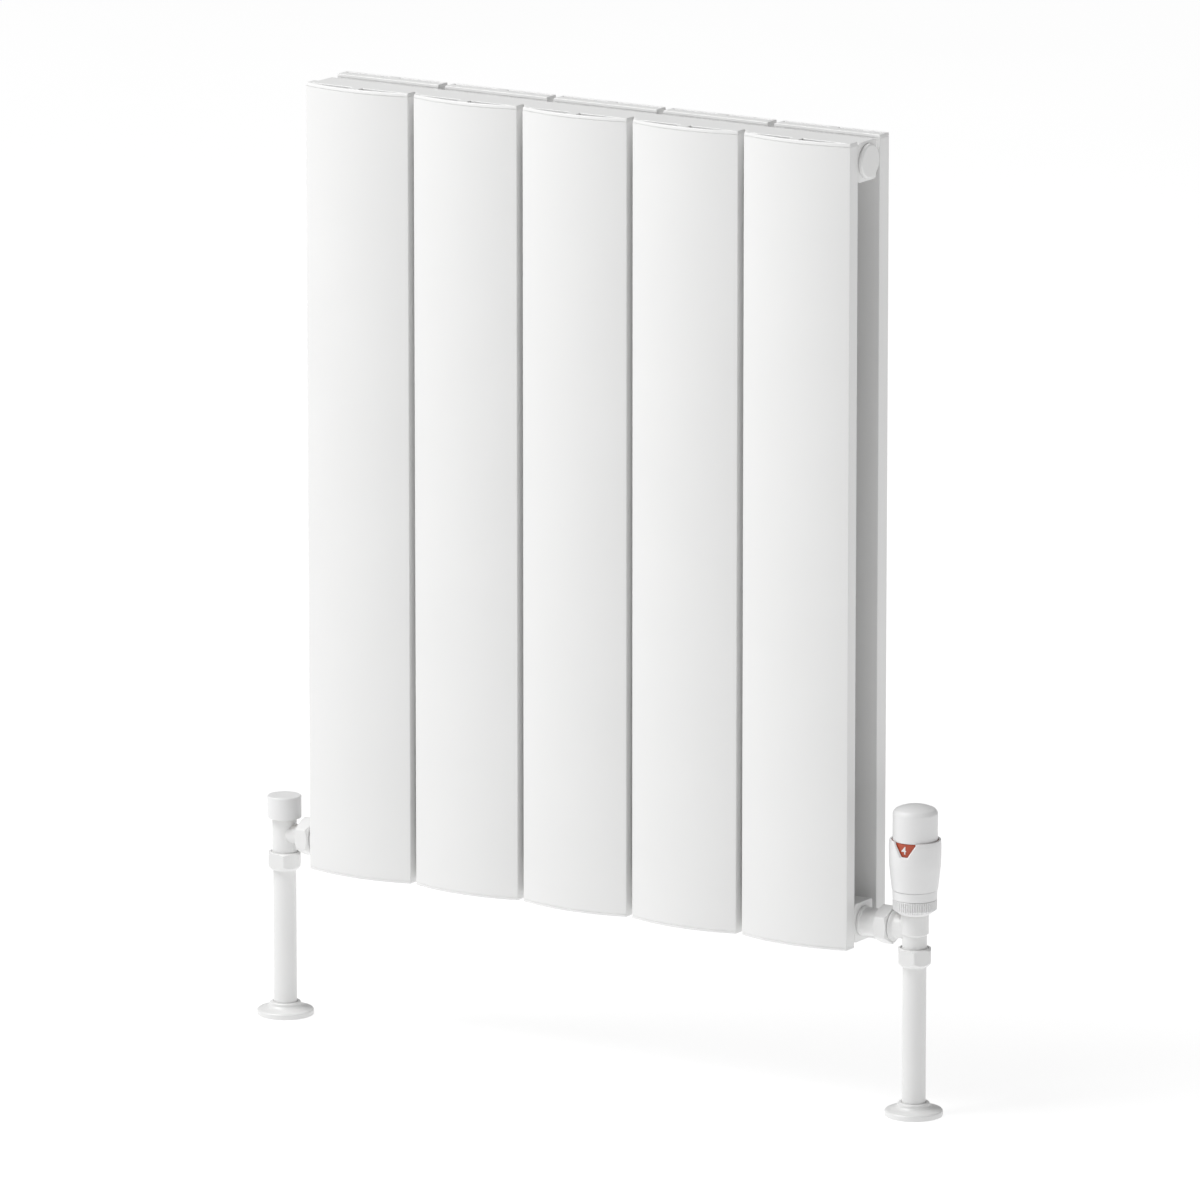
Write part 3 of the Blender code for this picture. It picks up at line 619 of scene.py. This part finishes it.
def square_end(name, half, low, high, at, facing):
    """A square for a key, with rounded corners and a coned tip."""

    def loops(inset, _):
        size = half - inset
        return [fillet([(-size, -size), (size, -size), (size, size), (-size, size)], 0.35)]

    matrix = Matrix.Translation(at) @ facing

    def place(across, along, height):
        return matrix @ Vector((across, along, height))

    return prism(name, loops, [(low, 0, 0), (high - 0.4, 0, 0), (high, 0.4, 0)], place)


# Wall brackets


def bracket(node, side, upper):
    """A folded steel angle: one leaf on the wall, and a blade that reaches between two rear sections to the
    header. The lower ones are the same piece upside down."""
    edge = TOP_MANIFOLD_Z - MANIFOLD_HALF if upper else BOTTOM_MANIFOLD_Z + MANIFOLD_HALF
    flip = 1 if upper else -1
    leaf, leaf_start, leaf_stop = 36.0, -50.0, 22.0
    outer_x = side * (BRACKET_X + BRACKET_STEEL / 2)
    inward = -side

    def angle_loops(inset, _):
        near, steel = inset, BRACKET_STEEL - inset
        corners = [(near, -near, 4.0), (near, -74.0), (steel, -74.0), (steel, -steel, 1.2)]
        corners += [(leaf - inset, -steel, 0.3), (leaf - inset, -near, 0.3)]
        return [fillet(corners, 0, steps=6)]

    def angle_place(across, along, height):
        return (outer_x + inward * across, along, edge + flip * height)

    levels = rounded_levels(leaf_start, leaf_stop, 0.3)
    plate = prism(node + "_form", angle_loops, levels, angle_place)

    nose = MANIFOLD_BACK + 1.5
    side_view = [(1, 23), (-3.01, 23), (-3.01, 14), (-26, 14, 4), (-38, 10, 4), (nose, 10, 1.5)]
    side_view += [(nose, -2.3, 0.8), (-73.0, -2.3, 1.5), (-73.0, -12, 4), (-66, -18, 5), (-30, -30, 8)]
    side_view += [(-3.01, -42.8), (-3.01, -51), (1, -51)]

    def blade_loops(*_):
        return [fillet(side_view)]

    def blade_place(across, along, height):
        return (side * BRACKET_X + inward * height, across, edge + flip * along)

    blade = prism(node + "_blade", blade_loops, [(-5, 0, 0), (40, 0, 0)], blade_place)
    combine(plate, blade, "INTERSECT")
    middle = outer_x + inward * leaf / 2
    slot, round_hole = (8.0, 4.0), (-36.0, 0.01)
    for height, half_slot in (slot, round_hole):

        def slot_loops(inset, _, half_slot=half_slot):
            radius, loop = 3.5 + inset, []
            for step in range(24):
                turn = 2 * math.pi * (step + 0.5) / 24
                rise = half_slot if turn < math.pi else -half_slot
                loop.append((radius * math.cos(turn), radius * math.sin(turn) + rise))
            return [loop]

        def slot_place(across, along, depth, height=height):
            return (middle + across, depth, edge + flip * (height + along))

        levels = [(-4.0, 0.4, 0), (-3.1, 0.4, 0), (-2.8, 0, 0), (1.0, 0, 0)]
        cut(plate, prism(node + "_slot", slot_loops, levels, slot_place))
    show(plate, "zinc_steel", node, sharp=30)


def bracket_pad(node, side):
    """A nylon saddle clipped over an upper bracket's blade."""
    top = TOP_MANIFOLD_Z - MANIFOLD_HALF - GAP
    blade_top = top + GAP - 2.3
    half_blade = BRACKET_STEEL / 2 + GAP
    half = half_blade + 1.4
    skirt = blade_top - 6.0

    def loops(inset, _):
        outer, inner, high, low = half - inset, half_blade + inset, top - inset, skirt + inset
        outline = [(-outer, high, 0.5), (outer, high, 0.5), (outer, low, 0.4), (inner, low, 0.4)]
        outline += [(inner, blade_top + GAP + inset, 0.2), (-inner, blade_top + GAP + inset, 0.2)]
        outline += [(-inner, low, 0.4), (-outer, low, 0.4)]
        return [fillet(outline)]

    def place(across, along, height):
        return (side * BRACKET_X + across, MANIFOLD_Y - 0.5 + height, along)

    show(prism(node + "_form", loops, rounded_levels(-10.5, 10.5, 0.3), place), "nylon", node)


# Valves


def pipework(side, x, facing):
    """Tail piece, union nut, compression joint, pipe, sleeve and floor plate of one valve."""
    port = (x, MANIFOLD_Y, PORT_Z)
    axis = (x, MANIFOLD_Y, 0)
    to_header = abs(x) - HALF_LENGTH
    lip = UNION_NUT_FAR - 3.0
    seat = to_header - 1.1

    tail = [(THREAD_RADIUS, to_header + 11.0, 0.6), (THREAD_RADIUS, seat), (10.9, seat)]
    tail += [(10.9, to_header - GAP), (11.3, to_header - GAP, 0.1), (11.3, to_header - 2.1, 0.45)]
    tail += [(10.3, to_header - 2.8, 0.4), (10.3, UNION_NUT_FAR + GAP, 0.3), (8.3, UNION_NUT_FAR + GAP)]
    tail += [(8.3, lip - GAP), (9.8, lip - GAP), (9.8, 21.8), (6.0, 21.8), (6.0, to_header + 11.0)]
    turned_piece(side + "_tail_piece", "white_enamel", tail, port, facing, 0.05)
    seal = [(10.6, seat + GAP), (10.6, to_header - GAP), (10.2, to_header - GAP), (10.2, seat + GAP)]
    turned_piece(side + "_tail_seal", "black_rubber", seal, port, facing, 0.1)

    inner = [(9.3, UNION_NUT_FAR, 0.2), (8.6, UNION_NUT_FAR - 0.7), (8.6, lip), (10.5, lip)]
    inner += [(10.5, UNION_NUT_NEAR + 0.6), (11.1, UNION_NUT_NEAR)]
    form = nut(
        side + "_union_nut_form",
        UNION_NUT_FLATS,
        UNION_NUT_NEAR,
        UNION_NUT_FAR,
        inner,
        port,
        facing,
        near_face=0.3,
        far_slope=0.9,
    )
    show(form, "white_enamel", side + "_union_nut")

    inner = [(10.6, PIPE_NUT_HIGH, 0.15), (10.3, 126.1), (10.3, 115.8), (8.1, 115.8)]
    inner += [(8.1, PIPE_NUT_LOW, 0.2)]
    form = nut(
        side + "_compression_nut_form",
        PIPE_NUT_FLATS,
        PIPE_NUT_LOW,
        PIPE_NUT_HIGH,
        inner,
        axis,
        UP,
        near_face=1.6,
        near_slope=1.1,
    )
    show(form, "white_enamel", side + "_compression_nut")

    olive = [(7.8, 118.0), (8.4, 118.0), (9.2, 117.3), (9.2, 116.7), (8.4, 116.1), (7.8, 116.1)]
    turned_piece(side + "_olive", "brass", olive, axis, rounding=0.15, sides=SMALL_SIDES)
    pipe = [(7.5, 123.7, 0.3), (7.5, 0, 0.3), (6.6, 0), (6.6, 123.7)]
    turned_piece(side + "_pipe", "copper", pipe, axis, rounding=0.1)
    sleeve = [(8.75, 112.7, 0.3), (8.75, 0, 0.3), (7.8, 0), (7.8, 112.7)]
    turned_piece(side + "_pipe_sleeve", "white_enamel", sleeve, axis, rounding=0.1)
    plate = [(9.05, 10.0, 0.3), (11.1, 10.0, 0.7), (11.7, 9.3, 0.5), (11.9, 7.6, 1.5), (13.6, 6.0, 2.5)]
    plate += [(17.0, 5.0, 6.0), (20.7, 4.4, 1.0), (21.5, 3.5, 0.6), (21.5, 0, 0.3), (9.05, 0)]
    turned_piece(side + "_floor_plate", "white_enamel", plate, axis, rounding=0)


def valve_body(node, x, facing, outer, top, branch_profile):
    """An angle valve: pipe below, seat above it, open top for the headwork and a branch to the radiator. Its
    long walls are divided so that they stay smooth where the branch joins them."""
    axis = (x, MANIFOLD_Y, 0)
    port = (x, MANIFOLD_Y, PORT_Z)
    thread = [(10.0, 126.0, 0.2), (10.0, 118.3), (0, 118.3)]
    profile = divided(fillet([(0, top)] + outer + thread, 0.1, closed=False, steps=8))
    body = turned(node + "_form", profile, axis, UP, 0, closed=False)
    branch = [(0, 21.5), (10.2, 21.5, 0.4), (10.2, 18.5)] + branch_profile
    branch = divided(fillet(branch + [(branch_profile[-1][0], 0), (0, 0)], 0, closed=False, steps=8))
    combine(body, turned(node + "_branch", branch, port, facing, 0, closed=False))
    waterway = [(0, top + 1), (7.4, top + 1), (7.4, 133.0), (5.2, 133.0), (5.2, 124.0), (7.8, 124.0)]
    waterway += [(7.8, 117.0), (0, 117.0)]
    outlet = [(0, 0), (5.5, 0), (5.5, 25), (0, 25)]
    cut(body, turned(node + "_waterway", waterway, axis, UP, 0, closed=False, sides=SMALL_SIDES))
    cut(body, turned(node + "_outlet", outlet, port, facing, 0, closed=False, sides=SMALL_SIDES))
    show(body, "white_enamel", node, sharp=16)


def lockshield():
    axis = (LEFT_X, MANIFOLD_Y, 0)
    outer = [(9.3, 153.4, 0.4), (9.3, 126.0)]
    valve_body("lockshield_body", LEFT_X, RIGHTWARD, outer, 153.4, [(7.6, 18.5)])
    gland = [(3.3, 160.0), (6.2, 160.0, 0.4), (6.2, 158.0), (10.6, 158.0, 0.4), (10.6, 155.0), (9.0, 155.0)]
    gland += [(9.0, 153.7), (7.1, 153.7), (7.1, 147.8), (5.3, 147.8), (5.3, 152.0), (3.3, 152.0)]
    turned_piece("lockshield_gland", "brass", gland, axis, rounding=0.1, sides=SMALL_SIDES)
    spindle = [(0, 161.0), (3.0, 161.0, 0.3), (3.0, 151.5), (4.8, 151.5), (4.8, 148.8), (2.6, 148.8)]
    spindle += [(2.6, 141.0), (0, 141.0)]
    stem = turned("lockshield_spindle_form", spindle, axis, UP, 0.1, closed=False, sides=SMALL_SIDES)
    combine(stem, square_end("lockshield_spindle_square", half=2.1, low=160.5, high=163.5, at=axis, facing=UP))
    show(stem, "brass", "lockshield_spindle")
    disc = [(2.9, 146.0), (4.6, 146.0), (4.6, 140.0), (6.4, 140.0), (6.4, 137.7), (0, 137.7)]
    disc += [(0, 139.0), (2.9, 139.0)]
    turned_piece("lockshield_disc", "brass", disc, axis, rounding=0, sides=SMALL_SIDES)
    washer = [(0, 137.4), (6.4, 137.4, 0.3), (6.4, 135.6, 0.3), (0, 135.6)]
    turned_piece("lockshield_disc_washer", "black_rubber", washer, axis, closed=False, sides=SMALL_SIDES)
    cap = [(0, 170.2), (12.3, 170.1, 0.3), (12.9, 169.5, 0.3), (12.9, 153.3, 0.2), (12.6, 153.0, 0.2)]
    cap += [(11.0, 153.0, 0.2), (11.0, 168.0, 1.0), (0, 168.0)]
    turned_piece("lockshield_cap", "white_plastic", cap, axis, rounding=0, closed=False)


def thermostatic_valve():
    axis = (RIGHT_X, MANIFOLD_Y, 0)
    outer = [(10.35, 152.4, 0.4), (10.35, 137.6, 0.5), (9.1, 136.4, 0.5), (9.1, 126.0)]
    branch = [(10.2, 17.2), (11.6, 17.2, 0.3), (11.6, 16.4, 0.8), (9.3, 14.2, 1.5)]
    valve_body("thermostatic_valve_body", RIGHT_X, LEFTWARD, outer, 152.4, branch + [(9.0, 12.0)])
    insert = [(5.6, 164.2), (7.8, 164.2, 0.4), (7.8, 158.5), (11.0, 158.5, 0.4), (11.0, 154.4), (9.6, 154.4)]
    insert += [(9.6, 152.7), (7.1, 152.7), (7.1, 148.2), (2.5, 148.2), (2.5, 152.2), (5.6, 152.2)]
    turned_piece("valve_insert", "brass", insert, axis, rounding=0.1, sides=SMALL_SIDES)
    gland = [(1.7, 166.2), (7.0, 166.2, 0.4), (7.0, 164.5), (5.3, 164.5), (5.3, 162.1), (1.7, 162.1)]
    turned_piece("valve_gland_nut", "brass", gland, axis, rounding=0.1, sides=SMALL_SIDES)
    seal = [(5.2, 161.7), (5.2, 160.6), (1.8, 160.6), (1.8, 161.7)]
    turned_piece("valve_pin_seal", "black_rubber", seal, axis, sides=SMALL_SIDES)
    pin = [(0, 169.6), (1.4, 169.6, 0.4), (1.4, 159.7), (4.9, 159.7), (4.9, 158.2), (2.2, 158.2)]
    pin += [(2.2, 140.3), (6.2, 140.3), (6.2, 137.7), (0, 137.7)]
    turned_piece("valve_pin", "steel", pin, axis, rounding=0.1, closed=False, sides=SMALL_SIDES)
    washer = [(0, 137.4), (6.2, 137.4, 0.3), (6.2, 135.4, 0.3), (0, 135.4)]
    turned_piece("valve_pin_washer", "black_rubber", washer, axis, closed=False, sides=SMALL_SIDES)
    foot = 152.5
    spring = coil(
        "valve_return_spring_form", radius=3.8, wire=0.45, bottom=foot, top=157.9, turns=3, at=axis
    )
    show(spring, "steel", "valve_return_spring")
    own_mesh(spring)


def ribbed(radius, height, angle):
    """Draws in the valleys between the collar's grip ribs, with flat tops and floors."""
    inner_wall = radius < 14.0
    if inner_wall or not RIB_LOW < height < RIB_HIGH:
        return radius, height
    wave = 0.5 - 0.5 * math.cos(RIB_COUNT * angle)
    valley = min(max(2.5 * wave - 1.1, 0), 1)
    return radius - RIB_DEPTH * valley, height


def thermostat_head():
    axis = (RIGHT_X, MANIFOLD_Y, 0)
    collar = [(13.6, 163.5, 0.2), (16.0, 163.5, 0.2), (16.3, 163.1), (16.3, 162.9), (16.3, 156.2, 0.4)]
    collar += [(15.3, 155.2), (14.2, 154.6), (13.8, 154.4), (11.4, 152.2, 0.1), (11.4, 158.8)]
    collar += [(13.6, 158.8)]
    sides = RIB_COUNT * 10
    turned_piece("thermostat_collar", "white_plastic", collar, axis, rounding=0, sides=sides, warp=ribbed)
    base = [(10.6, 197.2), (12.7, 197.2), (12.7, 170.5), (16.45, 170.5, 0.3), (16.3, 163.8, 0.25)]
    base += [(13.2, 163.8), (13.2, 159.2), (8.3, 159.2), (8.3, 171.2), (10.6, 173.2)]
    turned_piece("thermostat_base", "white_plastic", base, axis, rounding=0.1)

    skirt = [(17.35, 207.4), (17.35, 208.3, 0.1), (18.9, 208.3, 0.3), (19.2, 205.0, 8), (19.2, 197.0, 12)]
    skirt += [(18.95, 189.5, 12), (17.9, 179.3, 20), (16.9, 170.8, 0.3), (13.1, 170.8), (13.1, 172.6)]
    skirt += [(15.3, 172.6), (16.4, 179.3), (17.4, 189.5), (17.7, 197.0), (17.7, 207.0)]
    form = turned("thermostat_skirt_form", skirt, axis, UP, 0, sides=FINE_SIDES)

    def notch_loops(inset, _):
        wider = 1.0 - inset  # 0 at the notch's inner edge and 1 at its outer one
        low, high = 198.1 - 0.9 * wider, 209.3
        narrow, wide = 2.3 + wider, 9.4 + wider
        corners = [(-wide, high), (-narrow, low, 0.8), (narrow, low, 0.8), (wide, high)]
        return [divided(fillet(corners) + [corners[0]], 1.0)[:-1]]

    outward = Vector((math.cos(NOTCH_AZIMUTH), math.sin(NOTCH_AZIMUTH), 0))
    rightward = Vector((-outward.y, outward.x, 0))

    def notch_place(across, along, radius):
        out = math.sqrt(radius**2 - across**2)
        return Vector(axis) + outward * out + rightward * across + Vector((0, 0, along))

    levels = [(16.0, 1.0, 0), (17.9, 1.0, 0), (19.3, 0.0, 0), (24.0, 0.0, 0)]
    cut(form, prism("thermostat_skirt_notch", notch_loops, levels, notch_place))
    show(form, "white_plastic", "thermostat_skirt")

    ring = [(SCALE_RADIUS, 207.6, 0.2), (SCALE_RADIUS, 193.0), (15.8, 193.0), (15.8, 207.6)]
    turned_piece("thermostat_scale_ring", "red_plastic", ring, axis, rounding=0)
    for numeral in range(6):
        azimuth = NOTCH_AZIMUTH - (numeral - SCALE_AT_REST) * SCALE_STEP - SCALE_OFFSET
        scale_numeral(numeral, azimuth, axis)

    dome = [(0, 234.3), (6.0, 233.8, 20), (11.0, 232.6, 15), (15.0, 230.8, 2.5), (16.6, 228.2, 2.5)]
    dome += [(16.6, 207.9, 0.2), (15.1, 207.9), (15.1, 224.4), (13.4, 226.8), (0, 229.3)]
    turned_piece("thermostat_knob", "white_plastic", dome, axis, rounding=0, closed=False, sides=FINE_SIDES)
    sensor = [(0, 216.5), (8.4, 216.5, 0.5), (10.2, 214.8, 0.5), (10.2, 179.2, 0.5), (2.0, 179.2)]
    sensor += [(2.0, 169.9, 0.3), (0, 169.9)]
    turned_piece("thermostat_sensor", "brass", sensor, axis, rounding=0, closed=False, sides=SMALL_SIDES)
    spring = coil(
        "thermostat_overtravel_spring_form", radius=6.0, wire=0.6, bottom=216.8, top=227.1, turns=3, at=axis
    )
    show(spring, "steel", "thermostat_overtravel_spring")


def scale_numeral(numeral, azimuth, axis):
    """A raised numeral bent round the scale ring."""
    text = bpy.data.curves.new(f"numeral_{numeral}", "FONT")
    text.body = str(numeral)
    text.size = NUMERAL_SIZE
    text.offset = 0.06
    text.align_x = "CENTER"
    text.extrude = 0.2
    sketch = linked("numeral_sketch", text)
    mesh = evaluated_mesh(sketch)
    bpy.data.objects.remove(sketch)
    for vertex in mesh.vertices:
        across, along, out = vertex.co
        radius = SCALE_RADIUS + out
        angle = azimuth + across / SCALE_RADIUS
        bent = Vector((radius * math.cos(angle), radius * math.sin(angle), NUMERAL_FOOT + along))
        vertex.co = (Vector(axis) + bent) * MM
    form = bmesh.new()
    form.from_mesh(mesh)
    bmesh.ops.remove_doubles(form, verts=form.verts, dist=MERGE)
    bmesh.ops.recalc_face_normals(form, faces=form.faces)
    form.to_mesh(mesh)
    form.free()
    obj = linked(f"scale_numeral_{numeral}", mesh)
    show(obj, "white_plastic", body=frame["nodes"]["thermostat_scale_ring"]["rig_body"])


# Studio


def aim(obj, target, azimuth, elevation, distance):
    """Puts a lamp or camera at a distance from `target`, facing it. Azimuth runs from +X towards +Y, and both
    angles are in radians."""
    flat = math.cos(elevation)
    back = Vector((math.cos(azimuth) * flat, math.sin(azimuth) * flat, math.sin(elevation)))
    obj.location = target + back * distance
    obj.rotation_mode = "QUATERNION"
    obj.rotation_quaternion = (-back).to_track_quat("-Z", "Y")


def softbox(name, azimuth, elevation, distance, size, strength):
    """A square light that looks at the object, placed by angles in degrees. Its strength is what a sun lamp
    would need for the same light at the object."""
    lamp = bpy.data.lights.new(name, "AREA")
    lamp.shape = "SQUARE"
    lamp.size = size
    lamp.energy = strength * math.pi * distance**2
    aim(linked(name, lamp), OBJECT_MIDDLE, math.radians(azimuth), math.radians(elevation), distance)


def floor():
    half = 30.0
    mesh = bpy.data.meshes.new("floor")
    corners = [(-half, -half, 0), (half, -half, 0), (half, half, 0), (-half, half, 0)]
    mesh.from_pydata(corners, [], [(0, 1, 2, 3)])
    obj = linked("floor", mesh)
    obj.location.z = -0.0002  # just under the pieces that stand on it
    pale = bpy.data.materials.new("floor")
    pale.use_nodes = True
    tree = pale.node_tree
    shader = tree.nodes["Principled BSDF"]
    drift = spread(tree, noise(tree, 1.5), 0.0, 1.0)
    mix = add(tree, "ShaderNodeMix", {"Factor": drift}, data_type="RGBA")
    mix.inputs["A"].default_value = (0.30, 0.30, 0.30, 1)
    mix.inputs["B"].default_value = (0.32, 0.32, 0.32, 1)
    tree.links.new(mix.outputs["Result"], shader.inputs["Base Color"])
    shader.inputs["Roughness"].default_value = 0.9
    shader.inputs["Specular IOR Level"].default_value = 0.1
    shader.inputs["Emission Color"].default_value = (1, 1, 1, 1)
    shader.inputs["Emission Strength"].default_value = FLOOR_GLOW
    mesh.materials.append(pale)


def lighting():
    """Even light from all round, brighter near the horizon, and one large softbox at the front left."""
    scene = bpy.context.scene
    scene.view_settings.view_transform = "Standard"
    world = bpy.data.worlds.new("studio")
    scene.world = world
    world.use_nodes = True
    tree = world.node_tree
    towards = add(tree, "ShaderNodeTexCoord").outputs["Generated"]
    rise = add(tree, "ShaderNodeSeparateXYZ", {"Vector": towards}).outputs["Z"]
    settings = {"Value": rise, "To Min": HORIZON_LIGHT, "To Max": ZENITH_LIGHT}
    strength = add(tree, "ShaderNodeMapRange", settings).outputs["Result"]
    background = tree.nodes["Background"]
    background.inputs["Color"].default_value = (1, 1, 1, 1)
    tree.links.new(strength, background.inputs["Strength"])
    softbox("key", azimuth=-139, elevation=56, distance=4.4, size=2.6, strength=2.5)


def camera():
    lens = bpy.data.cameras.new("camera")
    lens.lens = FOCAL_LENGTH
    lens.sensor_width = 36.0
    lens.clip_start = 0.1
    lens.clip_end = 200.0
    obj = linked("camera", lens)
    aim(obj, CAMERA_TARGET, CAMERA_AZIMUTH, CAMERA_ELEVATION, CAMERA_DISTANCE)
    bpy.context.scene.camera = obj


camera()
floor()
lighting()
sections()
manifold("top_manifold", TOP_MANIFOLD_Z)
manifold("bottom_manifold", BOTTOM_MANIFOLD_Z)
plugs()
for label, side in (("left", -1), ("right", 1)):
    bracket(f"upper_bracket_{label}", side, upper=True)
    bracket(f"lower_bracket_{label}", side, upper=False)
    bracket_pad(f"bracket_pad_{label}", side)
pipework("left", LEFT_X, RIGHTWARD)
pipework("right", RIGHT_X, LEFTWARD)
lockshield()
thermostatic_valve()
thermostat_head()
